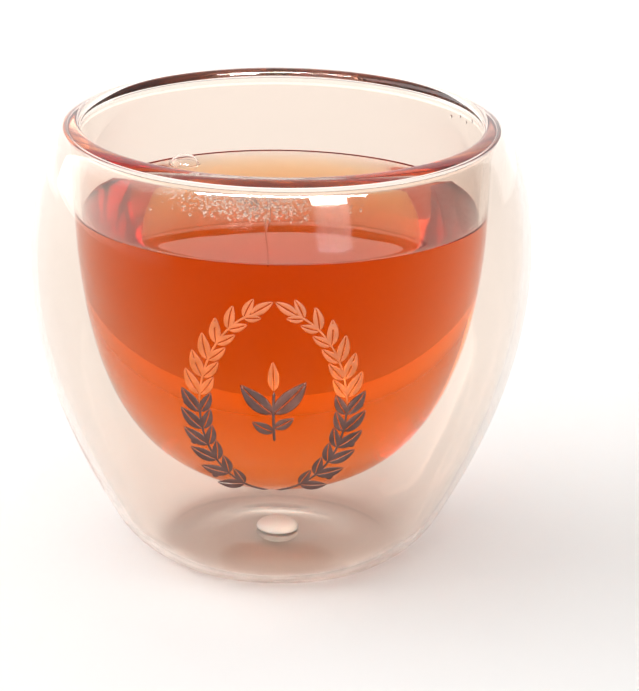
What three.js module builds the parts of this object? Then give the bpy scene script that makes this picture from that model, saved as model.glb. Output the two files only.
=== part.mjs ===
// A double-walled tea glass: a blown outer shell, an inner bowl whose rolled rim is fused to the
// shell's mouth, a soft plug in the vent hole of the shell's base, and the drink in the bowl.
// Millimetres, +Z up. The origin is the centre of the foot ring, on the surface the glass stands on.

import * as THREE from 'three';

// The glass as a whole
const cupHeight = 80;
const mouthRadius = 35.8; // clear opening of the bowl at its neck
const shellWall = 1.4;
const bowlWall = 1.4;

// Outer shell, from its foot up
const footRadius = 21.5; // outer edge of the flat ring that the glass stands on
const footWidth = 3;
const heelRadius = 20; // round turn from the foot into the side
const heelCut = 2; // how much of that round the standing surface cuts off
const sideLean = 29.7; // degrees from upright where the side leaves the heel
const bellyOverhang = 7.8; // how far the belly stands out past the bowl's outer wall
const bellyDrop = 24; // from the rim down to the widest line of the belly
const shoulderLean = 25.4; // degrees from upright where the shoulder starts to roll in
const rollRadius = 4.4; // outer radius of the rolled rim

// Rim, where the two blown walls are fused
const lipRadius = 1.1; // inner edge of the rolled rim
const seamExtra = 0.6; // glass above the seam, past the shell's own wall
const pocketDepth = 1.5; // rounded top end of the air gap

// Inner bowl
const neckDepth = 6; // upright stretch of the bowl, measured from the rim
const underGap = 10.2; // air under the bowl, above the middle of the base

// Vent hole in the base and its plug
const ventRadius = 3;
const plugClearance = 0.3;
const plugOverhang = 0.9; // how far the plug's two heads reach past the hole
const plugFlange = 0.8; // thickness of the head under the base
const plugDome = 1.7; // height of the head inside the air gap
const plugRecess = 0.7; // how far the plug stays above the standing surface
const landingWidth = 2.5; // flat ring round the vent hole

// Drink
const headspace = 16; // from the rim down to the level of the drink
const drinkClearance = 0.3;

// Fullness of the free curves: the handle of each end as a share of that curve's own span
const sideLowerFullness = 0.33;
const sideUpperFullness = 0.39;
const shoulderFullness = 0.3;
const kickFullness = 0.4;
const bowlSideFullness = 0.6;
const bowlFloorFullness = 0.79;

// Fineness of the surfaces
const roundSegments = 48;
const plugSegments = 24;
const longCurveSteps = 8;
const shortCurveSteps = 4;
const repeatDistance = 0.001; // profile points closer than this are one point

// Places worked out from the sizes above
const degree = Math.PI / 180;
const quarterTurn = Math.PI / 2;
const bowlRadius = mouthRadius + bowlWall;
const bellyRadius = bowlRadius + bellyOverhang;
const bellyHeight = cupHeight - bellyDrop;
const kickHeight = plugFlange + plugRecess;
const baseTop = kickHeight + shellWall;
const bowlBottom = baseTop + underGap;
const neckHeight = cupHeight - neckDepth;
const rollCentre = new THREE.Vector2(mouthRadius + lipRadius, cupHeight - rollRadius);
const seamHeight = cupHeight - shellWall - seamExtra;
const seamRise = seamHeight - rollCentre.y;
const drinkLevel = cupHeight - headspace;

const point = (radius, height) => new THREE.Vector2(radius, height);

// Points along a profile curve, each moved to the curve's left by the inset
function curvePoints(curve, steps, inset = 0) {
  const points = [];
  for (let step = 0; step <= steps; step += 1) {
    const place = curve.getPoint(step / steps);
    const along = curve.getTangent(step / steps);
    points.push(point(place.x - along.y * inset, place.y + along.x * inset));
  }
  return points;
}

function arcPoints(centre, radius, from, to, steps) {
  return curvePoints(new THREE.EllipseCurve(centre.x, centre.y, radius, radius, from, to), steps);
}

function onArc(centre, radius, angle) {
  return point(Math.cos(angle), Math.sin(angle)).multiplyScalar(radius).add(centre);
}

// Where the rolled rim of a given radius meets the seam: its angle above the roll's centre
function seamAngle(radius) {
  return Math.asin(seamRise / radius);
}

function seamRadius(radius) {
  return rollCentre.x + radius * Math.cos(seamAngle(radius));
}

// One face of the shell's wall, from the vent hole out over the foot and up to the seam
function shellFace(inset) {
  const footInner = footRadius - footWidth;
  const landing = ventRadius + landingWidth;
  const kickHandle = (footInner - landing) * kickFullness;
  const kick = new THREE.CubicBezierCurve(
    point(landing, kickHeight),
    point(landing + kickHandle, kickHeight),
    point(footInner - kickHandle, 0),
    point(footInner, 0),
  );

  const heelCentreHeight = heelRadius - heelCut;
  const heelReach = Math.sqrt(heelRadius ** 2 - heelCentreHeight ** 2);
  const heelCentre = point(footRadius - heelReach, heelCentreHeight);
  const heelStart = Math.acos((heelCentreHeight - inset) / (heelRadius - inset)) - quarterTurn;
  const heelEnd = -sideLean * degree;
  const sideAlong = point(Math.sin(-heelEnd), Math.cos(heelEnd));
  const sideStart = onArc(heelCentre, heelRadius, heelEnd);
  const sideRise = bellyHeight - sideStart.y;
  const side = new THREE.CubicBezierCurve(
    sideStart,
    sideAlong.multiplyScalar(sideRise * sideLowerFullness).add(sideStart),
    point(bellyRadius, bellyHeight - sideRise * sideUpperFullness),
    point(bellyRadius, bellyHeight),
  );

  const rollStart = shoulderLean * degree;
  const shoulderEnd = onArc(rollCentre, rollRadius, rollStart);
  const shoulderHandle = (shoulderEnd.y - bellyHeight) * shoulderFullness;
  const shoulderBack = point(Math.sin(rollStart), -Math.cos(rollStart)).multiplyScalar(shoulderHandle);
  const shoulder = new THREE.CubicBezierCurve(
    point(bellyRadius, bellyHeight),
    point(bellyRadius, bellyHeight + shoulderHandle),
    shoulderBack.add(shoulderEnd),
    shoulderEnd,
  );

  const roll = rollRadius - inset;
  return [
    point(ventRadius, kickHeight + inset),
    ...curvePoints(kick, shortCurveSteps, inset),
    ...arcPoints(heelCentre, heelRadius - inset, heelStart, heelEnd, shortCurveSteps),
    ...curvePoints(side, longCurveSteps, inset),
    ...curvePoints(shoulder, shortCurveSteps, inset),
    ...arcPoints(rollCentre, roll, rollStart, seamAngle(roll), shortCurveSteps),
  ];
}

// One face of the bowl's wall, from its middle up to the neck
function bowlFace(inset) {
  const curve = new THREE.CubicBezierCurve(
    point(0, bowlBottom),
    point(bowlRadius * bowlFloorFullness, bowlBottom),
    point(bowlRadius, neckHeight - (neckHeight - bowlBottom) * bowlSideFullness),
    point(bowlRadius, neckHeight),
  );
  const points = curvePoints(curve, longCurveSteps + shortCurveSteps, inset);
  points[0].x = 0;
  return points;
}

// The part of a rising profile that lies below a level, ended on that level
function belowLevel(points, level) {
  const kept = points.filter((place) => place.y < level);
  const last = kept[kept.length - 1];
  const next = points[kept.length];
  const share = (level - last.y) / (next.y - last.y);
  return [...kept, last.clone().lerp(next, share)];
}

// A solid of revolution about Z, from a profile of radius and height
function revolve(profile, segments) {
  const points = profile.filter((place, i) => i === 0 || place.distanceTo(profile[i - 1]) > repeatDistance);
  return new THREE.LatheGeometry(points, segments).rotateX(quarterTurn);
}

function outerShell() {
  const outside = shellFace(0);
  const inside = shellFace(shellWall).reverse();
  return revolve([...outside, ...inside, outside[0]], roundSegments);
}

function innerBowl() {
  const seamInner = seamRadius(rollRadius - shellWall);
  const pocketCorner = point(seamInner, seamHeight - pocketDepth);
  const pocketWidth = seamInner - bowlRadius;
  const pocket = new THREE.EllipseCurve(
    pocketCorner.x,
    pocketCorner.y,
    pocketWidth,
    pocketDepth,
    Math.PI,
    quarterTurn,
    true,
  );
  const lipCentre = point(rollCentre.x, cupHeight - lipRadius);
  return revolve(
    [
      ...bowlFace(0),
      ...curvePoints(pocket, shortCurveSteps),
      ...arcPoints(rollCentre, rollRadius, seamAngle(rollRadius), quarterTurn, shortCurveSteps),
      ...arcPoints(lipCentre, lipRadius, quarterTurn, Math.PI, shortCurveSteps),
      ...bowlFace(bowlWall).reverse(),
    ],
    roundSegments,
  );
}

// The plug grips the base between its flat lower head and its domed upper head
function ventPlug() {
  const neck = ventRadius - plugClearance;
  const head = ventRadius + plugOverhang;
  const dome = new THREE.EllipseCurve(0, baseTop, head, plugDome, 0, quarterTurn);
  const domePoints = curvePoints(dome, shortCurveSteps);
  domePoints[shortCurveSteps].x = 0;
  return revolve(
    [
      point(0, plugRecess),
      point(head, plugRecess),
      point(head, kickHeight),
      point(neck, kickHeight),
      point(neck, baseTop),
      ...domePoints,
    ],
    plugSegments,
  );
}

function drink() {
  const side = belowLevel(bowlFace(bowlWall + drinkClearance), drinkLevel);
  return revolve([...side, point(0, drinkLevel)], roundSegments);
}

const glass = new THREE.MeshStandardMaterial({
  color: 0xf4e6dc,
  roughness: 0.04,
  metalness: 0,
  transparent: true,
  opacity: 0.35,
});
const silicone = new THREE.MeshStandardMaterial({ color: 0xe9dcd2, roughness: 0.5, metalness: 0 });
const tea = new THREE.MeshStandardMaterial({
  color: 0xe0661a,
  roughness: 0.05,
  metalness: 0,
  transparent: true,
  opacity: 0.8,
});

function addPart(group, name, geometry, material) {
  const mesh = new THREE.Mesh(geometry, material);
  mesh.name = name;
  group.add(mesh);
}

const cup = new THREE.Group();
addPart(cup, 'outer_shell', outerShell(), glass);
addPart(cup, 'inner_bowl', innerBowl(), glass);
addPart(cup, 'vent_plug', ventPlug(), silicone);
addPart(cup, 'drink', drink(), tea);

export default cup;
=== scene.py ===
"""The looks of a double-walled tea glass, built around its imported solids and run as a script.

Lengths are in metres. The glass stands on z = 0 about the Z axis, and its printed front faces -Y.
"""

import math

import bpy
import numpy as np
from bpy.props import FloatProperty, FloatVectorProperty, IntProperty, PointerProperty
from bpy.types import NodeSocket, Operator, Panel, PropertyGroup
from mathutils import Matrix, Vector


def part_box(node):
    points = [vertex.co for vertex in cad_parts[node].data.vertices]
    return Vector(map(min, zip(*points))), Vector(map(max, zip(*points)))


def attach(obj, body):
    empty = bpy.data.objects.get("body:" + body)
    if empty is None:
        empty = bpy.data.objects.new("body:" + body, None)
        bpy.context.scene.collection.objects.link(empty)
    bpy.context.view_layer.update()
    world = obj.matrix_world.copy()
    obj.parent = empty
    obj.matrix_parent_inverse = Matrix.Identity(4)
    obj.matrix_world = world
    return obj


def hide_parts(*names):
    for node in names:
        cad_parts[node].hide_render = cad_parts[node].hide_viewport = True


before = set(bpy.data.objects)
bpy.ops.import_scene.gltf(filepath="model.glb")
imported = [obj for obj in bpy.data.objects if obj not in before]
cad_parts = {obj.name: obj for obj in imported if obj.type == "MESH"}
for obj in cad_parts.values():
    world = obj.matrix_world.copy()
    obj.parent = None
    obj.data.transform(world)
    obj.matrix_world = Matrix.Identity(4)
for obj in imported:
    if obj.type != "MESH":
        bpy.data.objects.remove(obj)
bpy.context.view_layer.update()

bl_info = {
    "name": "Double-walled tea glass",
    "version": (1, 0, 0),
    "blender": (4, 5, 0),
    "location": "3D View > Sidebar > Tea Glass",
    "description": "Builds the looks of a double-walled tea glass around its solids",
    "category": "Add Mesh",
}

MM = 0.001
QUARTER = math.pi / 2
FRONT = -QUARTER  # angle about Z of the printed front

# The photograph's frame, in pixels
IMAGE_WIDTH = 639
IMAGE_HEIGHT = 691

# Fullness of the free curves: the handle of each end as a share of that curve's own span
SIDE_LOWER_FULLNESS = 0.33
SIDE_UPPER_FULLNESS = 0.39
SHOULDER_FULLNESS = 0.3
KICK_FULLNESS = 0.4
BOWL_SIDE_FULLNESS = 0.6
BOWL_FLOOR_FULLNESS = 0.79
POCKET_FULLNESS = 0.7  # of the pocket's depth, at the top of the air gap
QUADRATIC_FULLNESS = 2 / 3  # makes a cubic curve follow a quadratic one

# Fineness of the surfaces
ROUND_STEPS = 176
LONG_STEPS = 64
SHORT_STEPS = 20
DRINK_STEPS = 128
PLUG_STEPS = 64
BUBBLE_STEPS = 48
SAME_POINT = 0.002 * MM

# Waves that blowing leaves in the walls: their length along the profile
BLOWN_WAVE = 11 * MM

# Layout of the wreath: shares of a quarter turn, of a stem or of a leaf, and leans in radians
STEM_FOOT = 0.97
STEM_TIP = 0.8
STEM_STEPS = 40
INK_CHANGE = 21  # step of the stem where its ink changes
FIRST_LEAF = 0.1
LAST_LEAF = 0.97
LARGEST_LEAF = 0.45
LEAF_SHRINK = 0.3
LEAF_BEND = 0.22
LEAF_SIDES = ((-0.72, 1.0), (0.66, 0.8))  # lean and scale of the outer and the inner leaves
END_LEAF = (0.8, 0.75)  # length and width of the leaf at a stem's tip
BERRY_DISTANCE = 0.42
OCHRE_ABOVE = 0.12  # share of the half height where the upper ink starts

# Light runs far inside the walls before it leaves them at the rim and the foot
LIGHT_BOUNCES = 256


def linear(colour):
    """The linear red, green and blue of an sRGB hex colour."""
    parts = np.array([int(colour[i : i + 2], 16) for i in (1, 3, 5)]) / 255
    bright = ((parts + 0.055) / 1.055) ** 2.4
    return tuple(np.where(parts > 0.04045, bright, parts / 12.92).tolist())


def size(name, description, millimetres):
    return FloatProperty(
        name=name, description=description, default=millimetres * MM, unit="LENGTH", precision=5
    )


def turn(name, description, degrees):
    return FloatProperty(
        name=name, description=description, default=math.radians(degrees), unit="ROTATION"
    )


def amount(name, description, default):
    return FloatProperty(name=name, description=description, default=default)


def colour(name, description, code):
    return FloatVectorProperty(
        name=name, description=description, default=linear(code), subtype="COLOR", min=0, max=1
    )


def node_top(node):
    """Height of a solid's top above the standing surface, in millimetres."""
    return round(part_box(node)[1].z / MM, 3)


def node_reach(node):
    """Radius of a round solid at its widest, in millimetres."""
    return round(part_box(node)[1].x / MM, 3)


class GlassSizes(PropertyGroup):
    """Sizes of the two blown walls and of the plug in the base."""

    cup_height: size("Height", "From the standing surface to the rim", node_top("inner_bowl"))
    belly_radius: size("Belly radius", "The shell at its widest", node_reach("outer_shell"))
    belly_drop: size("Belly drop", "From the rim down to the widest line", 24)
    mouth_radius: size("Mouth radius", "Clear opening of the bowl at its neck", 35.8)
    wall: size("Wall", "Thickness of both blown walls", 1.4)
    foot_radius: size("Foot radius", "Outer edge of the ring that the glass stands on", 21.5)
    foot_width: size("Foot width", "Width of that ring", 3)
    heel_radius: size("Heel radius", "Round turn from the foot into the side", 20)
    heel_cut: size("Heel cut", "How much of that round the standing surface cuts off", 2)
    foot_round: size("Foot round", "Reach of the rounded corner between foot and heel", 1.4)
    side_lean: turn("Side lean", "From upright, where the side leaves the heel", 29.7)
    shoulder_lean: turn("Shoulder lean", "From upright, where the shoulder rolls in", 25.4)
    roll_radius: size("Roll radius", "Outer radius of the rolled rim", 4.4)
    lip_radius: size("Lip radius", "Inner edge of the rolled rim", 1.1)
    seam_depth: size("Seam depth", "From the rim down to the top of the air gap", 2)
    pocket_depth: size("Pocket depth", "Rounded top end of the air gap", 1.5)
    neck_depth: size("Neck depth", "Upright stretch of the bowl under the rim", 6)
    under_gap: size("Gap under the bowl", "Air between the base and the bowl", 10.2)
    vent_radius: size("Vent radius", "Hole in the middle of the base", 3)
    landing_width: size("Landing width", "Flat ring round the vent hole", 2.5)
    kick_height: size("Kick height", "Rise of the base inside the foot", 1.5)
    waviness: size("Waviness", "How far the blown faces stray from round", 0.03)
    plug_clearance: size("Plug clearance", "Between the plug's neck and the hole", 0.3)
    plug_overhang: size("Plug overhang", "Reach of the plug's heads past the hole", 0.9)
    plug_flange: size("Plug flange", "Thickness of the head under the base", 0.8)
    plug_dome: size("Plug dome", "Height of the head inside the air gap", 1.7)


class DrinkSizes(PropertyGroup):
    """Sizes of the drink and of what floats on it."""

    level: size("Level", "Height of the drink's surface", node_top("drink"))
    meniscus_height: size("Meniscus height", "Climb of the drink at the wall", 0.5)
    meniscus_reach: size("Meniscus reach", "Distance over which the climb fades", 0.8)
    wetting: size("Wetting", "How far the drink reaches into the wall, so no air is left", 0.15)
    bubble_radius: size("Bubble radius", "Dome of the bubble on the surface", 2.7)
    bubble_film: size("Bubble film", "Thickness of the bubble's skin", 0.2)
    bubble_angle: turn("Bubble place", "Angle about the axis where the bubble floats", 123.5)


class PrintSizes(PropertyGroup):
    """Sizes of the wreath that is printed on the front."""

    centre_height: size("Print height", "Height of the print's middle", 41.5)
    centre_shift: size("Print shift", "How far the middle lies to the right", -1)
    half_width: size("Half width", "Half the width of the wreath's stems", 12.7)
    half_height: size("Half height", "Half the height of the wreath's stems", 17.8)
    leaf_length: size("Leaf length", "Length of the outer leaves", 5.6)
    leaf_width: size("Leaf width", "Width of the outer leaves", 2.3)
    vein: size("Vein", "Bare line along the middle of a leaf", 0.18)
    stem: size("Stem", "Width of the stems", 0.42)
    berry_radius: size("Berry radius", "Radius of the berries", 0.62)
    film: size("Film", "Thickness of the fired ink", 0.06)
    leaf_pairs: IntProperty(name="Leaf pairs", description="Pairs of leaves on each stem", default=12)


class DropSizes(PropertyGroup):
    """Sizes of the water beads and of the run under the rim."""

    beads: IntProperty(name="Beads", description="Number of condensed beads", default=1100)
    bead_radius: size("Bead radius", "Radius of a common bead", 0.14)
    bead_height: amount("Bead height", "Height of a bead as a share of its radius", 0.7)
    band_low: size("Band low", "Lowest beads above the standing surface", 71.6)
    band_high: size("Band high", "Highest beads above the standing surface", 76.8)
    run_width: size("Run width", "Width of the thick part of the run", 0.75)
    run_tail: size("Run tail", "Width of the thin part of the run", 0.22)
    run_top: size("Run top", "Upper end of the run", 76.3)
    run_neck: size("Run neck", "Where the thick part ends", 70.6)


class StageSizes(PropertyGroup):
    """The camera, as fitted to the photograph, and the light."""

    aim_height: size("Aim height", "Height of the point on the axis that the camera is fitted to", 40)
    distance: size("Distance", "From that point to the lens", 650)
    elevation: turn("Elevation", "How far the camera looks down", 18.605)
    roll: turn("Roll", "Tilt of the camera about its own line of sight", -0.6875)
    focal: amount("Focal length", "Focal length in pixels of the photograph", 3592)
    aim_across: amount("Aim across", "Pixel column where that point falls", 279.5)
    aim_down: amount("Aim down", "Pixel row where that point falls", 334.1)
    room: amount("Room light", "Brightness of the white room", 0.72)
    left_panel: amount("Left panel", "Brightness of the soft panel at the left, the main light", 3.1)
    back_panel: amount("Back panel", "Brightness of the soft panel behind the glass", 0.7)
    front_panel: amount("Front panel", "Brightness of the low soft panel at the front", 1.5)
    window: amount("Window", "Brightness of the tall window that the front mirrors", 95)
    skylight: amount("Skylight", "Brightness of the wide light that the shoulder mirrors", 105)
    floor_depth: size("Floor depth", "Gap between the floor and the foot", 0.2)


class Finishes(PropertyGroup):
    """Colours of the finishes."""

    glass: colour("Glass", "Tint of one blown wall", "#F4EDE7")
    glass_edge: colour("Glass edge", "Colour that a long way through the glass takes on", "#E69338")
    tea: colour("Tea", "Colour that the drink lets through", "#FAD036")
    silicone: colour("Silicone", "Moulded plug", "#F8F2EC")
    plum: colour("Plum ink", "Fired ink of the lower half", "#4A2A22")
    ochre: colour("Ochre ink", "Fired ink of the upper half", "#BC5C20")
    floor: colour("Floor", "Matte card", "#F7F5F3")


class TeaGlass(PropertyGroup):
    """Everything that a user would change."""

    glass: PointerProperty(type=GlassSizes)
    drink: PointerProperty(type=DrinkSizes)
    print: PointerProperty(type=PrintSizes)
    drops: PointerProperty(type=DropSizes)
    stage: PointerProperty(type=StageSizes)
    finishes: PointerProperty(type=Finishes)


# Profiles: rows of radius and height

def on_arc(centre, radius, angles):
    """Points at the given angles on a circle."""
    return np.asarray(centre) + radius * np.stack([np.cos(angles), np.sin(angles)], axis=-1)


def arc(centre, radius, start, end, steps=SHORT_STEPS):
    return on_arc(centre, radius, np.linspace(start, end, steps + 1))


def bezier(handles, steps=LONG_STEPS, inset=0.0):
    """A cubic Bezier, its four handles weighed by the Bernstein polynomials, moved left by inset."""
    a, b, c, d = np.asarray(handles, float)
    t = np.linspace(0, 1, steps + 1)[:, None]
    places = a * (1 - t) ** 3 + 3 * b * t * (1 - t) ** 2 + 3 * c * t**2 * (1 - t) + d * t**3
    along = (b - a) * (1 - t) ** 2 + 2 * (c - b) * t * (1 - t) + (d - c) * t**2
    along /= np.linalg.norm(along, axis=1, keepdims=True)
    return places + inset * np.stack([-along[:, 1], along[:, 0]], axis=1)


def roll_centre(glass):
    return np.array([glass.mouth_radius + glass.lip_radius, glass.cup_height - glass.roll_radius])


def shell_side(glass, inset=0.0):
    """The shell from its foot up to the rolled rim: a rounded corner, an arc, and two Bezier curves that
    meet upright at the belly. Inset moves it into the wall."""
    centre_height = glass.heel_radius - glass.heel_cut
    reach = math.sqrt(glass.heel_radius**2 - centre_height**2)
    heel_centre = np.array([glass.foot_radius - reach, centre_height])
    heel_start = math.acos((centre_height - inset) / (glass.heel_radius - inset)) - QUARTER
    heel_end = -glass.side_lean
    side_start = on_arc(heel_centre, glass.heel_radius, heel_end)
    belly = np.array([glass.belly_radius, glass.cup_height - glass.belly_drop])
    rise = belly[1] - side_start[1]
    lean = np.array([math.sin(glass.side_lean), math.cos(glass.side_lean)])
    upright = np.array([0.0, 1.0])
    side = [
        side_start,
        side_start + lean * rise * SIDE_LOWER_FULLNESS,
        belly - upright * rise * SIDE_UPPER_FULLNESS,
        belly,
    ]
    shoulder_end = on_arc(roll_centre(glass), glass.roll_radius, glass.shoulder_lean)
    handle = (shoulder_end[1] - belly[1]) * SHOULDER_FULLNESS
    inward = np.array([-math.sin(glass.shoulder_lean), math.cos(glass.shoulder_lean)])
    shoulder = [belly, belly + upright * handle, shoulder_end - inward * handle, shoulder_end]
    heel_round = glass.foot_round / glass.heel_radius
    heel = arc(heel_centre, glass.heel_radius - inset, heel_start + heel_round, heel_end)
    corner = on_arc(heel_centre, glass.heel_radius - inset, heel_start)
    foot_end = corner - (glass.foot_round, 0)
    rounding = [
        foot_end,
        foot_end + (corner - foot_end) * QUADRATIC_FULLNESS,
        heel[0] + (corner - heel[0]) * QUADRATIC_FULLNESS,
        heel[0],
    ]
    return np.vstack([
        bezier(rounding, SHORT_STEPS),
        heel,
        bezier(side, LONG_STEPS, inset),
        bezier(shoulder, SHORT_STEPS, inset),
    ])


def shell_base(glass, inset=0.0):
    """The base from the vent hole out to the foot ring: a flat landing with a point close to its edge,
    so that the edge stays crisp, and an S-shaped Bezier down to the standing surface."""
    edge = 0.25 * MM
    foot_inner = glass.foot_radius - glass.foot_width
    landing = glass.vent_radius + glass.landing_width
    handle = (foot_inner - landing) * KICK_FULLNESS
    top = glass.kick_height
    kick = [(landing, top), (landing + handle, top), (foot_inner - handle, 0), (foot_inner, 0)]
    return np.vstack([
        [(glass.vent_radius, top + inset), (glass.vent_radius + edge, top + inset)],
        bezier(kick, SHORT_STEPS, inset),
    ])


def bowl_face(glass, inset=0.0):
    """One face of the bowl from the axis up to its neck: a Bezier that leaves the axis level and ends
    upright."""
    radius = glass.mouth_radius + glass.wall
    bottom = glass.kick_height + glass.wall + glass.under_gap
    neck = glass.cup_height - glass.neck_depth
    side = neck - (neck - bottom) * BOWL_SIDE_FULLNESS
    handles = [(0, bottom), (radius * BOWL_FLOOR_FULLNESS, bottom), (radius, side), (radius, neck)]
    points = bezier(handles, LONG_STEPS + SHORT_STEPS, inset)
    points[0, 0] = 0
    return points


def glass_profile(glass):
    """The whole section of the fused glass, from the axis under the bowl, up the bowl's outside, through
    the air gap and the vent hole, up the shell's outside, over the rim and down the bowl's inside to the
    axis."""
    centre = roll_centre(glass)
    inner_roll = glass.roll_radius - glass.wall
    seam_height = glass.cup_height - glass.seam_depth
    seam_angle = math.asin((seam_height - centre[1]) / inner_roll)
    seam = on_arc(centre, inner_roll, seam_angle)
    pocket_foot = np.array([glass.mouth_radius + glass.wall, seam_height - glass.pocket_depth])
    outward = np.array([math.sin(seam_angle), -math.cos(seam_angle)])
    handle = POCKET_FULLNESS * glass.pocket_depth
    pocket = [pocket_foot, pocket_foot + (0, handle), seam - outward * handle, seam]
    lip_centre = (centre[0], glass.cup_height - glass.lip_radius)
    sections = [
        bowl_face(glass),
        bezier(pocket, SHORT_STEPS),
        arc(centre, inner_roll, seam_angle, glass.shoulder_lean),
        shell_side(glass, glass.wall)[::-1],
        shell_base(glass, glass.wall)[::-1],
        shell_base(glass),
        shell_side(glass),
        arc(centre, glass.roll_radius, glass.shoulder_lean, QUARTER),
        arc(lip_centre, glass.lip_radius, QUARTER, math.pi),
        bowl_face(glass, glass.wall)[::-1],
    ]
    return distinct(np.vstack(sections))


def plug_profile(glass):
    """The plug from the axis under its flat head, round the head, in along the neck and over the dome."""
    low = glass.kick_height - glass.plug_flange
    top = glass.kick_height + glass.wall
    neck = glass.vent_radius - glass.plug_clearance
    head = glass.vent_radius + glass.plug_overhang
    rounding = 0.3 * MM
    corner_steps = 6
    dome = np.linspace(0, QUARTER, SHORT_STEPS + 1)
    profile = np.vstack([
        [(0, low), (head / 2, low)],
        arc((head - rounding, low + rounding), rounding, -QUARTER, 0, corner_steps),
        arc((head - rounding, glass.kick_height - rounding), rounding, 0, QUARTER, corner_steps),
        [(neck + rounding, glass.kick_height), (neck, glass.kick_height + rounding)],
        [(neck, top - rounding), (neck + rounding, top)],
        np.stack([head * np.cos(dome), top + glass.plug_dome * np.sin(dome)], axis=-1),
    ])
    profile[-1, 0] = 0
    return distinct(profile)


def drink_profile(glass, drink):
    """The drink from the axis up the wall, and back over its surface, whose climb at the wall fades with
    the exponential of the distance from it."""
    side = bowl_face(glass, glass.wall - drink.wetting)
    contact = drink.level + drink.meniscus_height
    edge = np.interp(contact, side[:, 1], side[:, 0])
    radii = edge * np.sin(np.linspace(QUARTER, 0, LONG_STEPS + 1))
    climb = drink.meniscus_height * np.exp(-(edge - radii) / drink.meniscus_reach)
    surface = np.stack([radii, drink.level + climb], axis=-1)
    return distinct(np.vstack([side[side[:, 1] < contact], [(edge, contact)], surface]))


def bubble_profile(drink):
    """A bubble from the axis down its inside, out to a flared foot and up its outside: two ellipses a film
    apart."""
    outer, inner = drink.bubble_radius, drink.bubble_radius - drink.bubble_film
    foot = drink.level - 0.3 * MM
    flare = 0.25 * MM
    flatness = 0.8
    sweep = np.linspace(0, QUARTER, SHORT_STEPS + 1)
    inside = np.stack([inner * np.sin(sweep), foot + inner * flatness * np.cos(sweep)], axis=-1)
    outside = np.stack([outer * np.cos(sweep), foot + outer * flatness * np.sin(sweep)], axis=-1)
    outside[-1, 0] = inside[0, 0] = 0
    return distinct(np.vstack([inside, [(outer + flare, foot)], outside[1:]]))


def distinct(points):
    """The points without those that repeat the one before."""
    steps = np.linalg.norm(np.diff(points, axis=0), axis=1)
    return points[np.concatenate([[True], steps > SAME_POINT])]


def path_length(points):
    """Distance along a row of points up to each of them."""
    return np.concatenate([[0], np.cumsum(np.linalg.norm(np.diff(points, axis=0), axis=1))])


# Surfaces: stacks of closed rings with a point at each end

def revolve(profile, steps=ROUND_STEPS):
    """Rings and end points of a profile turned about Z: radius times the cosine and sine of the angle."""
    angles = np.linspace(0, 2 * math.pi, steps, endpoint=False)
    radii, heights = profile[1:-1, :1], profile[1:-1, 1:]
    rings = np.stack(
        [radii * np.cos(angles), radii * np.sin(angles), heights + 0 * angles], axis=-1
    )
    ends = np.stack([np.zeros(2), np.zeros(2), profile[[0, -1], 1]], axis=-1)
    return rings[None], ends[None]


def blown(glass, profile, rings):
    """The rings of the glass, moved out and in as blowing leaves them: waves of two and five to the turn,
    whose phase shifts along the profile, and which fade towards the axis."""
    run = path_length(profile)[1:-1, None] / BLOWN_WAVE
    angles = np.linspace(0, 2 * math.pi, ROUND_STEPS, endpoint=False)
    waves = np.sin(2 * angles + run) * np.sin(0.61 * run) + 0.6 * np.sin(5 * angles - 0.7 * run)
    radii = profile[1:-1, :1]
    swell = glass.waviness * waves * np.clip(radii / glass.foot_radius, 0, 1) ** 2
    across = 1 + swell / radii
    return rings * np.stack([across, across, np.ones_like(across)], axis=-1)


def skin(rings, ends):
    """Vertices and faces of many closed bodies of one build: rings[body, ring, place] joined by quads, and
    each outermost ring drawn to ends[body, 0 or 1] by triangles. A ring runs anticlockwise seen from the
    last end."""
    bodies, count, around = rings.shape[:3]
    vertices = np.concatenate([rings.reshape(bodies, count * around, 3), ends], axis=1)
    index = np.arange(count * around).reshape(count, around)
    after = np.roll(index, -1, axis=1)
    quads = np.stack([index[:-1], after[:-1], after[1:], index[1:]], axis=-1).reshape(-1, 4)
    poles = np.full((2, around), [[count * around], [count * around + 1]])
    first = np.stack([poles[0], after[0], index[0]], axis=-1)
    last = np.stack([poles[1], index[-1], after[-1]], axis=-1)
    offsets = (np.arange(bodies) * vertices.shape[1])[:, None, None]
    triangles = np.concatenate([first, last]) + offsets
    return vertices.reshape(-1, 3), (quads + offsets).reshape(-1, 4), triangles.reshape(-1, 3)


def make_piece(name, bodies, materials):
    """A smooth mesh object of skins, each with the number of its material, riding on the glass."""
    skins, numbers = zip(*bodies)
    vertices, quads, triangles = zip(*skins)
    starts = np.cumsum([0, *map(len, vertices[:-1])])
    faces = []
    face_numbers = []
    for corners in (quads, triangles):
        faces += np.concatenate([part + start for part, start in zip(corners, starts)]).tolist()
        face_numbers.append(np.repeat(numbers, [len(part) for part in corners]))
    mesh = bpy.data.meshes.new(name)
    mesh.from_pydata(np.concatenate(vertices).tolist(), [], faces)
    mesh.polygons.foreach_set("material_index", np.concatenate(face_numbers).astype(np.int32))
    mesh.shade_smooth()
    for material in materials:
        mesh.materials.append(material)
    if mesh.validate():
        raise RuntimeError(f"{name} has faces that don't hold")
    piece = bpy.data.objects.new(name, mesh)
    bpy.context.scene.collection.objects.link(piece)
    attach(piece, "root")
    return piece


# Materials

def add_node(tree, kind, sockets=None, **settings):
    """Adds one node. Settings are its own options, and sockets are the values or links of its inputs."""
    made = tree.nodes.new(kind)
    for name, value in settings.items():
        setattr(made, name, value)
    for name, value in (sockets or {}).items():
        if isinstance(value, NodeSocket):
            tree.links.new(value, made.inputs[name])
        else:
            made.inputs[name].default_value = value
    return made


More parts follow.
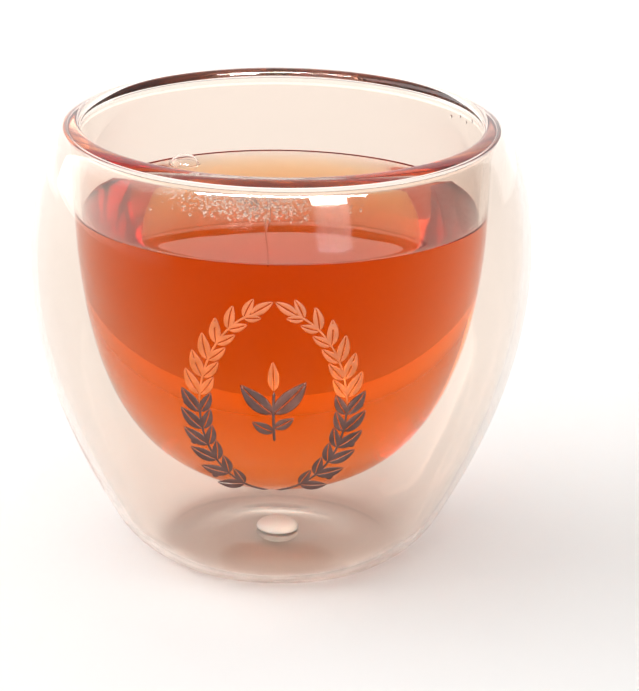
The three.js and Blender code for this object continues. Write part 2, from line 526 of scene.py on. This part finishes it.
def new_material(name):
    """An empty node material and its output node."""
    material = bpy.data.materials.new(name)
    material.use_nodes = True
    material.node_tree.nodes.clear()
    return material.node_tree, add_node(material.node_tree, "ShaderNodeOutputMaterial"), material


def opaque(rgb):
    return (*rgb, 1.0)


def blown_glass(finishes):
    """Borosilicate glass, blown and fire polished: clear, warm where the way through it is long, with slow
    waves from the blowing and a trace of finger smudge. Its rim is glossy, and its walls mirror little seen
    square on, because four of them lie one behind the other and their gloss would veil the drink."""
    tree, output, material = new_material("borosilicate_glass_fire_polished")
    place = add_node(tree, "ShaderNodeTexCoord").outputs["Object"]
    wave_width = 14 * MM
    waves = add_node(tree, "ShaderNodeTexNoise", {"Vector": place, "Scale": 1 / wave_width, "Detail": 1.0})
    bump = add_node(
        tree,
        "ShaderNodeBump",
        {"Height": waves.outputs["Fac"], "Strength": 0.12, "Distance": 0.4 * MM},
    )
    smudge_width = 9 * MM
    smudge = add_node(
        tree,
        "ShaderNodeTexNoise",
        {"Vector": place, "Scale": 1 / smudge_width, "Detail": 4.0},
    )
    rough = add_node(
        tree,
        "ShaderNodeMapRange",
        {"Value": smudge.outputs["Fac"], "From Min": 0.5, "From Max": 0.8, "To Min": 0.0, "To Max": 0.02},
    )
    height = add_node(tree, "ShaderNodeSeparateXYZ", {"Vector": place}).outputs["Z"]
    rim_low, rim_high = 76 * MM, 78 * MM
    gloss = add_node(
        tree,
        "ShaderNodeMapRange",
        {"Value": height, "From Min": rim_low, "From Max": rim_high, "To Min": 0.03, "To Max": 1.0},
    )
    shader = add_node(
        tree,
        "ShaderNodeBsdfPrincipled",
        {
            "Base Color": opaque(finishes.glass),
            "Roughness": rough.outputs["Result"],
            "IOR": 1.47,
            "Transmission Weight": 1.0,
            "Specular Tint": gloss.outputs["Result"],
            "Normal": bump.outputs["Normal"],
        },
    )
    depth = add_node(
        tree,
        "ShaderNodeVolumeAbsorption",
        {"Color": opaque(finishes.glass_edge), "Density": 8.0},
    )
    tree.links.new(shader.outputs["BSDF"], output.inputs["Surface"])
    tree.links.new(depth.outputs["Volume"], output.inputs["Volume"])
    return material


def brewed_tea(finishes):
    """Brewed black tea, clear and still: the colour deepens from gold to red with the depth looked through.
    Seen square on it has no gloss, because a wet wall has none, while its surface still mirrors at a low
    angle."""
    tree, output, material = new_material("black_tea_brewed")
    place = add_node(tree, "ShaderNodeTexCoord").outputs["Object"]
    ripple_width = 11 * MM
    ripple = add_node(
        tree,
        "ShaderNodeTexNoise",
        {"Vector": place, "Scale": 1 / ripple_width, "Detail": 1.0},
    )
    bump = add_node(
        tree,
        "ShaderNodeBump",
        {"Height": ripple.outputs["Fac"], "Strength": 0.05, "Distance": 0.3 * MM},
    )
    shader = add_node(
        tree,
        "ShaderNodeBsdfPrincipled",
        {
            "Base Color": (1.0, 1.0, 1.0, 1.0),
            "Roughness": 0.0,
            "IOR": 1.333,
            "Transmission Weight": 1.0,
            "Specular Tint": (0.0, 0.0, 0.0, 1.0),
            "Normal": bump.outputs["Normal"],
        },
    )
    depth = add_node(
        tree,
        "ShaderNodeVolumeAbsorption",
        {"Color": opaque(finishes.tea), "Density": 96.0},
    )
    tree.links.new(shader.outputs["BSDF"], output.inputs["Surface"])
    tree.links.new(depth.outputs["Volume"], output.inputs["Volume"])
    return material


def clear_water():
    """Condensed water: round clear drops with a sharp highlight."""
    tree, output, material = new_material("condensed_water")
    place = add_node(tree, "ShaderNodeTexCoord").outputs["Object"]
    swell_width = 0.8 * MM
    swell = add_node(tree, "ShaderNodeTexNoise", {"Vector": place, "Scale": 1 / swell_width, "Detail": 0.0})
    bump = add_node(
        tree,
        "ShaderNodeBump",
        {"Height": swell.outputs["Fac"], "Strength": 0.1, "Distance": 0.05 * MM},
    )
    shader = add_node(
        tree,
        "ShaderNodeBsdfPrincipled",
        {
            "Base Color": (1.0, 1.0, 1.0, 1.0),
            "Roughness": 0.0,
            "IOR": 1.333,
            "Transmission Weight": 1.0,
            "Normal": bump.outputs["Normal"],
        },
    )
    tree.links.new(shader.outputs["BSDF"], output.inputs["Surface"])
    return material


def moulded_silicone(finishes):
    """Moulded silicone: milky and soft, lit from within, with the fine matte grain of its mould."""
    tree, output, material = new_material("silicone_moulded_translucent")
    place = add_node(tree, "ShaderNodeTexCoord").outputs["Object"]
    grain_width = 0.25 * MM
    grain = add_node(tree, "ShaderNodeTexNoise", {"Vector": place, "Scale": 1 / grain_width, "Detail": 3.0})
    bump = add_node(
        tree,
        "ShaderNodeBump",
        {"Height": grain.outputs["Fac"], "Strength": 0.25, "Distance": 0.03 * MM},
    )
    rough = add_node(
        tree,
        "ShaderNodeMapRange",
        {"Value": grain.outputs["Fac"], "To Min": 0.35, "To Max": 0.55},
    )
    shader = add_node(
        tree,
        "ShaderNodeBsdfPrincipled",
        {
            "Base Color": opaque(finishes.silicone),
            "Roughness": rough.outputs["Result"],
            "IOR": 1.41,
            "Subsurface Weight": 0.8,
            "Subsurface Radius": (1.0, 0.8, 0.7),
            "Subsurface Scale": 1.5 * MM,
            "Transmission Weight": 0.05,
            "Normal": bump.outputs["Normal"],
        },
    )
    tree.links.new(shader.outputs["BSDF"], output.inputs["Surface"])
    return material


def fired_ink(name, rgb):
    """Ceramic ink, screen printed and fired: opaque, nearly matte, a little uneven in density, with the
    faint mesh grain of the screen. Where it lies thin it is lighter."""
    tree, output, material = new_material(name)
    place = add_node(tree, "ShaderNodeTexCoord").outputs["Object"]
    patch_width = 2.2 * MM
    patches = add_node(
        tree,
        "ShaderNodeTexNoise",
        {"Vector": place, "Scale": 1 / patch_width, "Detail": 4.0},
    )
    fade = add_node(
        tree,
        "ShaderNodeMapRange",
        {"Value": patches.outputs["Fac"], "From Min": 0.3, "From Max": 0.7},
    )
    thin = tuple(1.35 * part + 0.02 for part in rgb)
    blend = add_node(
        tree,
        "ShaderNodeMix",
        {0: fade.outputs["Result"], 6: opaque(rgb), 7: opaque(thin)},
        data_type="RGBA",
    )
    mesh_width = 0.2 * MM
    grain = add_node(tree, "ShaderNodeTexNoise", {"Vector": place, "Scale": 1 / mesh_width, "Detail": 2.0})
    bump = add_node(
        tree,
        "ShaderNodeBump",
        {"Height": grain.outputs["Fac"], "Strength": 0.3, "Distance": 0.02 * MM},
    )
    shader = add_node(
        tree,
        "ShaderNodeBsdfPrincipled",
        {
            "Base Color": blend.outputs[2],
            "Roughness": 0.6,
            "IOR": 1.5,
            "Specular IOR Level": 0.2,
            "Normal": bump.outputs["Normal"],
        },
    )
    tree.links.new(shader.outputs["BSDF"], output.inputs["Surface"])
    return material


def matte_card(finishes):
    """Pale matte card: no gloss, and a tooth too fine to see from here, drawn coarser so that it holds."""
    tree, output, material = new_material("matte_card")
    place = add_node(tree, "ShaderNodeTexCoord").outputs["Object"]
    tooth_width = 3 * MM
    tooth = add_node(tree, "ShaderNodeTexNoise", {"Vector": place, "Scale": 1 / tooth_width, "Detail": 3.0})
    bump = add_node(
        tree,
        "ShaderNodeBump",
        {"Height": tooth.outputs["Fac"], "Strength": 0.03, "Distance": 0.1 * MM},
    )
    shader = add_node(
        tree,
        "ShaderNodeBsdfPrincipled",
        {
            "Base Color": opaque(finishes.floor),
            "Roughness": 0.9,
            "Specular IOR Level": 0.0,
            "Normal": bump.outputs["Normal"],
        },
    )
    tree.links.new(shader.outputs["BSDF"], output.inputs["Surface"])
    return material


# The printed wreath, laid out flat: x to the right, y up, and the height of the ink over the glass

def strip(middle, across, half, film, around=8):
    """Rings and ends of flat films along paths: at each point of middle[body, point] an ellipse as wide as
    half to both sides, along across, and as thick as the film, most of it above the glass. The end points
    close it."""
    angles = np.linspace(0, 2 * math.pi, around, endpoint=False)
    reach = half[:, 1:-1, None, None] * np.cos(angles)[:, None]
    flat = middle[:, 1:-1, None] + across[:, 1:-1, None] * reach
    height = film * (0.2 + 0.5 * np.sin(angles)) + 0 * flat[..., 0]
    rings = np.concatenate([flat, height[..., None]], axis=-1)
    ends = np.concatenate([middle[:, [0, -1]], np.full((len(middle), 2, 1), 0.2 * film)], axis=-1)
    return rings, ends


def leaf_halves(base, heading, length, width, bend, vein, film, steps=11):
    """Both halves of many leaves. A leaf's midrib leaves its base along its heading and bends aside with
    the square of the distance, and each half swells from the vein as a power of the sine along it."""
    t = np.linspace(0, 1, steps)
    ahead = np.stack([np.cos(heading), np.sin(heading)], axis=-1)[:, None]
    left = np.stack([-np.sin(heading), np.cos(heading)], axis=-1)[:, None]
    span = length[:, None, None]
    turned = bend[:, None, None]
    middle = base[:, None] + ahead * span * t[:, None] + left * span * turned * t[:, None] ** 2
    along = ahead + 2 * turned * left * t[:, None]
    along /= np.linalg.norm(along, axis=-1, keepdims=True)
    across = np.stack([-along[..., 1], along[..., 0]], axis=-1)
    half = width[:, None] / 4 * np.sin(math.pi * t**0.8) ** 0.9
    gap = vein / 2 * np.sin(math.pi * t) ** 0.5
    shift = (half + gap)[..., None]
    sides = [strip(middle + side * across * shift, across, half, film) for side in (1, -1)]
    return tuple(np.concatenate(parts) for parts in zip(*sides))


def stem_strip(points, width, film):
    """One thin film along a row of points, tapered over its last fifth."""
    along = np.gradient(points, axis=0)
    along /= np.linalg.norm(along, axis=1, keepdims=True)
    across = np.stack([-along[:, 1], along[:, 0]], axis=-1)
    taper = np.clip(np.linspace(5, 0.9, len(points)), 0, 1)
    return strip(points[None], across[None], (width / 2 * taper)[None], film, 6)


def spots(centres, radii, film, around=12):
    """Round films: for each centre a low dome of two rings."""
    angles = np.linspace(0, 2 * math.pi, around, endpoint=False)
    circle = np.stack([np.cos(angles), np.sin(angles)], axis=-1)
    shares, heights = np.array([1.0, 0.7]), np.array([0.2, 0.65]) * film
    flat = centres[:, None, None] + radii[:, None, None, None] * shares[:, None, None] * circle
    rings = np.concatenate([flat, np.broadcast_to(heights[:, None, None], (*flat.shape[:3], 1))], axis=-1)
    tops = np.stack([np.full(len(centres), -0.3 * film), np.full(len(centres), 0.7 * film)], axis=-1)
    ends = np.concatenate([np.repeat(centres[:, None], 2, axis=1), tops[..., None]], axis=-1)
    return rings, ends


def wrap(glass, layout, flat):
    """Lays flat places on the shell's outside: y runs along its profile from the print's middle, x goes
    round it at true width, and the height stands along the profile's normal."""
    profile = distinct(shell_side(glass))
    run = path_length(profile)
    middle = np.interp(layout.centre_height, profile[:, 1], run)
    along = np.gradient(profile, run, axis=0)
    at = middle + flat[..., 1]
    radius, height, out_radius, out_height = (
        np.interp(at, run, column)
        for column in (profile[:, 0], profile[:, 1], along[:, 1], -along[:, 0])
    )
    angle = FRONT + (flat[..., 0] + layout.centre_shift) / radius
    radius = radius + flat[..., 2] * out_radius
    height = height + flat[..., 2] * out_height
    return np.stack([radius * np.cos(angle), radius * np.sin(angle), height], axis=-1)


def wreath(layout):
    """The wreath's films, each as rings and ends: two stems along half an oval each, with a leaf to both
    sides at even steps, berries between the outer leaves, and a young shoot in the middle."""
    films = shoot(layout)
    for side in (1, -1):
        films += branch(layout, side)
    return films


def branch(layout, side):
    """One stem of the wreath, at the right for side 1 and at the left for -1, with its leaves and
    berries. The leaves shrink with the square of their distance from the largest one."""
    film = layout.film
    sweep = np.linspace(-QUARTER * STEM_FOOT, QUARTER * STEM_TIP, STEM_STEPS)
    across = side * layout.half_width * np.cos(sweep)
    oval = np.stack([across, layout.half_height * np.sin(sweep)], axis=-1)
    films = [stem_strip(part, layout.stem, film) for part in (oval[: INK_CHANGE + 1], oval[INK_CHANGE:])]
    run = path_length(oval)

    def at(shares):
        return np.stack([np.interp(shares * run[-1], run, oval[:, k]) for k in (0, 1)], axis=-1)

    share = np.linspace(FIRST_LEAF, LAST_LEAF, layout.leaf_pairs)
    base = at(share)
    ahead = np.gradient(oval, run, axis=0)
    heading = np.interp(share * run[-1], run, np.unwrap(np.arctan2(ahead[:, 1], ahead[:, 0])))
    scales = 1 - LEAF_SHRINK * (2 * (share - LARGEST_LEAF)) ** 2
    leaves = [
        (base[k], heading[k] + side * lean, scale * scales[k], scale * scales[k], -LEAF_BEND * side * lean)
        for lean, scale in LEAF_SIDES
        for k in range(layout.leaf_pairs)
    ]
    leaves.append((oval[-1], heading[-1], *END_LEAF, 0.0))
    films += [leaf(layout, *each) for each in leaves]
    spot = at((share[1:-1:2] + share[2::2]) / 2)
    outward = spot / np.linalg.norm(spot, axis=1, keepdims=True)
    centres = spot + outward * BERRY_DISTANCE * layout.leaf_length
    films += [spots(centre[None], np.array([layout.berry_radius]), film) for centre in centres]
    return films


def leaf(layout, base, heading, long, wide, bend):
    """One leaf, its length and width given as shares of a common leaf's."""
    return leaf_halves(
        base[None],
        np.array([heading]),
        np.array([long * layout.leaf_length]),
        np.array([wide * layout.leaf_width]),
        np.array([bend]),
        layout.vein,
        layout.film,
    )


def shoot(layout):
    """The young shoot in the wreath's middle: a curved stem, two pairs of leaves and a bud."""
    foot, fork, tip = np.array([[0.06, -1.25], [0.0, -0.25], [0.03, 0.55]]) * layout.leaf_length
    stem = bezier([foot, (foot + fork) / 2, fork, tip], SHORT_STEPS)
    leaves = [
        (fork, 0.72, 1.5, 1.45, 0.12),
        (fork, math.pi - 0.66, 1.4, 1.35, -0.12),
        (tip, 1.62, 1.0, 0.8, 0.0),
        (foot + 0.35 * (fork - foot), math.pi - 0.3, 0.75, 0.9, -0.2),
        (foot + 0.5 * (fork - foot), 0.35, 0.7, 0.85, 0.2),
    ]
    return [stem_strip(stem, 1.2 * layout.stem, layout.film), *(leaf(layout, *each) for each in leaves)]


# Drops

def wall_radius(glass, heights):
    """Radius of the bowl's inside at the given heights."""
    inside = bowl_face(glass, glass.wall)
    return np.interp(heights, inside[:, 1], inside[:, 0])


def bead_bodies(glass, drops, angles, heights, radii):
    """Beads on the bowl's inside: half ellipsoids of three rings of eight, with the flat side a little
    inside the wall."""
    sides = 8
    rise = np.array([0.0, 0.6, 1.15])  # angle of each ring above the flat side
    sink = 0.12  # of the flat side's middle, as a share of the radius
    around = np.linspace(0, 2 * math.pi, sides, endpoint=False)
    circle = np.stack([np.cos(around), np.sin(around)], axis=-1)
    flat = np.cos(rise)[:, None, None] * circle
    up = np.broadcast_to(drops.bead_height * np.sin(rise)[:, None, None], (*flat.shape[:2], 1))
    rings = np.concatenate([flat, up], axis=-1)[None] * radii[:, None, None, None]
    ends = np.array([[0, 0, -sink], [0, 0, drops.bead_height]])[None] * radii[:, None, None]
    inward = np.stack([-np.cos(angles), -np.sin(angles), 0 * angles], axis=-1)
    upward = np.broadcast_to([0.0, 0.0, 1.0], inward.shape)
    sideways = np.cross(upward, inward)
    axes = np.stack([sideways, upward, inward], axis=1)
    into_wall = 0.01 * MM
    wall = wall_radius(glass, heights) + into_wall
    centres = np.stack([wall * np.cos(angles), wall * np.sin(angles), heights], axis=-1)
    return (
        np.einsum("btqk,bkx->btqx", rings, axes) + centres[:, None, None],
        np.einsum("btk,bkx->btx", ends, axes) + centres[:, None],
    )


def run_body(glass, drops, level):
    """The run of water on the bowl's inside: an ellipse carried down a slightly wandering line, wide and
    round at its upper part and thin below, half of it inside the wall."""
    steps, sides = 60, 10
    tip, narrowing = 0.06, 0.03  # shares of the run over which it opens, and thins at the neck
    bead_place, bead_spread, bead_share = 0.75, 0.35, 0.4  # of the neck's place, and of the width
    place, wander, turns = FRONT - 0.062, 0.006, 9  # radians about the axis
    flatness = 0.55
    t = np.linspace(0, 1, steps)
    heights = drops.run_top + (level - drops.run_top) * t
    neck = (drops.run_top - drops.run_neck) / (drops.run_top - level)
    fall = 1 / (1 + np.exp((t - neck) / narrowing))
    bead = np.exp(-(((t - bead_place * neck) / (bead_spread * neck)) ** 2))
    swell = 1 - bead_share + bead_share * bead
    half = drops.run_tail / 2 + (drops.run_width - drops.run_tail) / 2 * fall * swell
    half *= np.clip(np.sin(QUARTER * np.clip(t / tip, 0, 1)), 0.02, 1)
    angles = place + wander * np.sin(turns * t)
    wall = wall_radius(glass, heights)
    around = np.linspace(0, 2 * math.pi, sides, endpoint=False)
    depth = wall[:, None] - flatness * half[:, None] * np.sin(around)
    turn_by = angles[:, None] + half[:, None] * np.cos(around) / wall[:, None]
    levels = heights[:, None] + 0 * depth
    rings = np.stack([depth * np.cos(turn_by), depth * np.sin(turn_by), levels], axis=-1)
    ends = np.stack([wall * np.cos(angles), wall * np.sin(angles), heights], axis=-1)[[0, -1]]
    return rings[1:-1][None], ends[None]


# Operators

class TEAGLASS_OT_stage(Operator):
    """Sets up the camera, the floor and the light"""

    bl_idname = "tea_glass.stage"
    bl_label = "Stage"

    def execute(self, context):
        props = context.scene.tea_glass
        stage = props.stage
        self.add_camera(context, stage)
        self.add_floor(context, props)
        self.add_room(context, stage)
        self.add_lamps(context, stage)
        cycles = context.scene.cycles
        cycles.max_bounces = LIGHT_BOUNCES
        cycles.transmission_bounces = LIGHT_BOUNCES
        cycles.glossy_bounces = LIGHT_BOUNCES
        cycles.caustics_refractive = True
        cycles.caustics_reflective = False
        context.scene.view_settings.view_transform = "Standard"
        context.scene.view_settings.look = "None"
        return {"FINISHED"}

    def add_camera(self, context, stage):
        """A camera that looks at the aim point, then turned so that the point falls on its pixel."""
        lens = bpy.data.cameras.new("camera")
        lens.sensor_fit = "AUTO"
        lens.lens = stage.focal / IMAGE_HEIGHT * lens.sensor_width
        lens.clip_end = 50
        camera = bpy.data.objects.new("camera", lens)
        back = Vector((0, -math.cos(stage.elevation), math.sin(stage.elevation)))
        right = Vector((1, 0, 0))
        facing = Matrix((right, back.cross(right), back)).transposed()
        yaw = math.atan((stage.aim_across - IMAGE_WIDTH / 2) / stage.focal)
        pitch = math.atan((stage.aim_down - IMAGE_HEIGHT / 2) / stage.focal)
        facing = facing @ Matrix.Rotation(yaw, 3, "Y") @ Matrix.Rotation(pitch, 3, "X")
        facing = facing @ Matrix.Rotation(-stage.roll, 3, "Z")
        camera.matrix_world = Matrix.Translation(
            Vector((0, 0, stage.aim_height)) + back * stage.distance
        ) @ facing.to_4x4()
        context.scene.collection.objects.link(camera)
        context.scene.camera = camera

    def add_floor(self, context, props):
        """A wide square just under the foot."""
        half = 4.0
        mesh = bpy.data.meshes.new("floor")
        z = -props.stage.floor_depth
        corners = [(-half, -half, z), (half, -half, z), (half, half, z), (-half, half, z)]
        mesh.from_pydata(corners, [], [(0, 1, 2, 3)])
        mesh.materials.append(matte_card(props.finishes))
        floor = bpy.data.objects.new("floor", mesh)
        context.scene.collection.objects.link(floor)

    def add_room(self, context, stage):
        """A white room, which fills what the panels leave dark."""
        world = bpy.data.worlds.new("white_room")
        world.use_nodes = True
        tree = world.node_tree
        tree.nodes.clear()
        light = add_node(
            tree,
            "ShaderNodeBackground",
            {"Color": (1.0, 1.0, 1.0, 1.0), "Strength": stage.room},
        )
        add_node(tree, "ShaderNodeOutputWorld", {"Surface": light.outputs["Background"]})
        context.scene.world = world

    def add_lamps(self, context, stage):
        """Soft panels round the glass, and two lights at the front that the glass mirrors and that don't
        light the floor straight. A lamp's brightness is what a mirror would show of it, so its power is
        that times its area and pi."""
        lamps = [
            ("left_panel", stage.left_panel, (2.0, 1.2), (-1.2, 0.0, 0.6), (0.0, 0.0, 0.6), True),
            ("back_panel", stage.back_panel, (1.4, 0.6), (0.0, 0.47, 0.3), (0.0, 0.0, 0.3), True),
            ("front_panel", stage.front_panel, (1.2, 0.4), (0.0, -0.8, 0.2), (0.0, 0.0, 0.2), True),
            ("window", stage.window, (0.32, 0.7), (0.42, -0.95, 0.5), (0.0, 0.0, 0.04), False),
            ("skylight", stage.skylight, (1.6, 0.14), (0.0, -0.8, 0.78), (0.0, 0.0, 0.075), False),
        ]
        for name, brightness, (wide, tall), place, aim, lights_floor in lamps:
            light = bpy.data.lights.new(name, "AREA")
            light.shape = "RECTANGLE"
            light.size, light.size_y = wide, tall
            light.energy = brightness * math.pi * wide * tall
            lamp = bpy.data.objects.new(name, light)
            lamp.visible_diffuse = lights_floor
            lamp.visible_transmission = lights_floor
            facing = (Vector(aim) - Vector(place)).to_track_quat("-Z", "Y")
            lamp.matrix_world = Matrix.Translation(place) @ facing.to_matrix().to_4x4()
            context.scene.collection.objects.link(lamp)


class TEAGLASS_OT_glass_body(Operator):
    """Builds the fused glass: the outer shell and the inner bowl"""

    bl_idname = "tea_glass.glass_body"
    bl_label = "Glass body"

    def execute(self, context):
        props = context.scene.tea_glass
        profile = glass_profile(props.glass)
        rings, ends = revolve(profile)
        body = skin(blown(props.glass, profile, rings), ends)
        glass = make_piece("glass_body", [(body, 0)], [blown_glass(props.finishes)])
        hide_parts("outer_shell", "inner_bowl")
        return {"FINISHED"}


class TEAGLASS_OT_vent_plug(Operator):
    """Builds the silicone plug that closes the vent hole in the base"""

    bl_idname = "tea_glass.vent_plug"
    bl_label = "Vent plug"

    def execute(self, context):
        props = context.scene.tea_glass
        body = skin(*revolve(plug_profile(props.glass), PLUG_STEPS))
        plug = make_piece("vent_plug_soft", [(body, 0)], [moulded_silicone(props.finishes)])
        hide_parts("vent_plug")
        return {"FINISHED"}


class TEAGLASS_OT_drink(Operator):
    """Pours the drink and floats one bubble on it"""

    bl_idname = "tea_glass.drink"
    bl_label = "Drink"

    def execute(self, context):
        props = context.scene.tea_glass
        body = skin(*revolve(drink_profile(props.glass, props.drink), DRINK_STEPS))
        tea = make_piece("tea", [(body, 0)], [brewed_tea(props.finishes)])
        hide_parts("drink")
        self.add_bubble(props)
        return {"FINISHED"}

    def add_bubble(self, props):
        """Floats the bubble on the surface, close to the back wall."""
        drink = props.drink
        wall_gap = 0.4 * MM
        rings, ends = revolve(bubble_profile(drink), BUBBLE_STEPS)
        reach = props.glass.mouth_radius - drink.bubble_radius - wall_gap
        shift = reach * np.array([math.cos(drink.bubble_angle), math.sin(drink.bubble_angle), 0])
        bubble = make_piece("surface_bubble", [(skin(rings + shift, ends + shift), 0)], [clear_water()])


class TEAGLASS_OT_print(Operator):
    """Prints the wreath on the front of the shell"""

    bl_idname = "tea_glass.print"
    bl_label = "Front print"

    def execute(self, context):
        props = context.scene.tea_glass
        layout = props.print
        bodies = []
        for rings, ends in wreath(layout):
            upper = rings[..., 1].mean() > OCHRE_ABOVE * layout.half_height
            wrapped = wrap(props.glass, layout, rings), wrap(props.glass, layout, ends)
            bodies.append((skin(*wrapped), int(upper)))
        inks = [
            fired_ink("ceramic_ink_plum_fired", props.finishes.plum),
            fired_ink("ceramic_ink_ochre_fired", props.finishes.ochre),
        ]
        make_piece("front_print", bodies, inks)
        return {"FINISHED"}


class TEAGLASS_OT_drops(Operator):
    """Condenses water beads and a run of water under the rim"""

    bl_idname = "tea_glass.drops"
    bl_label = "Water drops"

    def execute(self, context):
        props = context.scene.tea_glass
        glass, drops = props.glass, props.drops
        draw = np.random.default_rng(7)
        middle, spread = FRONT - 0.13, 0.2  # radians about the axis
        upward_pull, downward_pull = 2.2, 1.4  # more beads sit high in their band than low
        size_spread = 0.32
        angles = draw.normal(middle, spread, drops.beads)
        share = draw.beta(upward_pull, downward_pull, drops.beads)
        heights = drops.band_low + (drops.band_high - drops.band_low) * share
        radii = drops.bead_radius * np.exp(draw.normal(0, size_spread, drops.beads))
        stray_angles = QUARTER - np.array([1.04, 1.13, 1.2, 1.28])
        stray_heights = np.array([76.1, 76.9, 76.4, 77.4]) * MM
        stray_radii = np.array([0.35, 0.3, 0.28, 0.34]) * MM
        angles = np.concatenate([angles, stray_angles])
        heights = np.concatenate([heights, stray_heights])
        radii = np.concatenate([radii, stray_radii])
        bodies = [(skin(*bead_bodies(glass, drops, angles, heights, radii)), 0)]
        bodies.append((skin(*run_body(glass, drops, props.drink.level)), 0))
        make_piece("water_beads", bodies, [clear_water()])
        return {"FINISHED"}


class TEAGLASS_PT_sidebar(Panel):
    """Lists the pieces of the tea glass"""

    bl_idname = "TEAGLASS_PT_sidebar"
    bl_label = "Double-walled tea glass"
    bl_space_type = "VIEW_3D"
    bl_region_type = "UI"
    bl_category = "Tea Glass"

    def draw(self, context):
        for piece in PIECES:
            self.layout.operator(piece.bl_idname)
        props = context.scene.tea_glass
        for group in (props.glass, props.drink, props.print, props.drops, props.stage, props.finishes):
            box = self.layout.box()
            for name in group.__annotations__:
                box.prop(group, name)


PIECES = (
    TEAGLASS_OT_stage,
    TEAGLASS_OT_glass_body,
    TEAGLASS_OT_vent_plug,
    TEAGLASS_OT_drink,
    TEAGLASS_OT_print,
    TEAGLASS_OT_drops,
)
GROUPS = (GlassSizes, DrinkSizes, PrintSizes, DropSizes, StageSizes, Finishes, TeaGlass)
CLASSES = (*GROUPS, *PIECES, TEAGLASS_PT_sidebar)


def register():
    for each in CLASSES:
        bpy.utils.register_class(each)
    bpy.types.Scene.tea_glass = PointerProperty(type=TeaGlass)


def unregister():
    del bpy.types.Scene.tea_glass
    for each in reversed(CLASSES):
        bpy.utils.unregister_class(each)


def main():
    register()
    bpy.ops.tea_glass.stage()
    bpy.ops.tea_glass.glass_body()
    bpy.ops.tea_glass.vent_plug()
    bpy.ops.tea_glass.drink()
    bpy.ops.tea_glass.print()
    bpy.ops.tea_glass.drops()


if __name__ == "__main__":
    main()
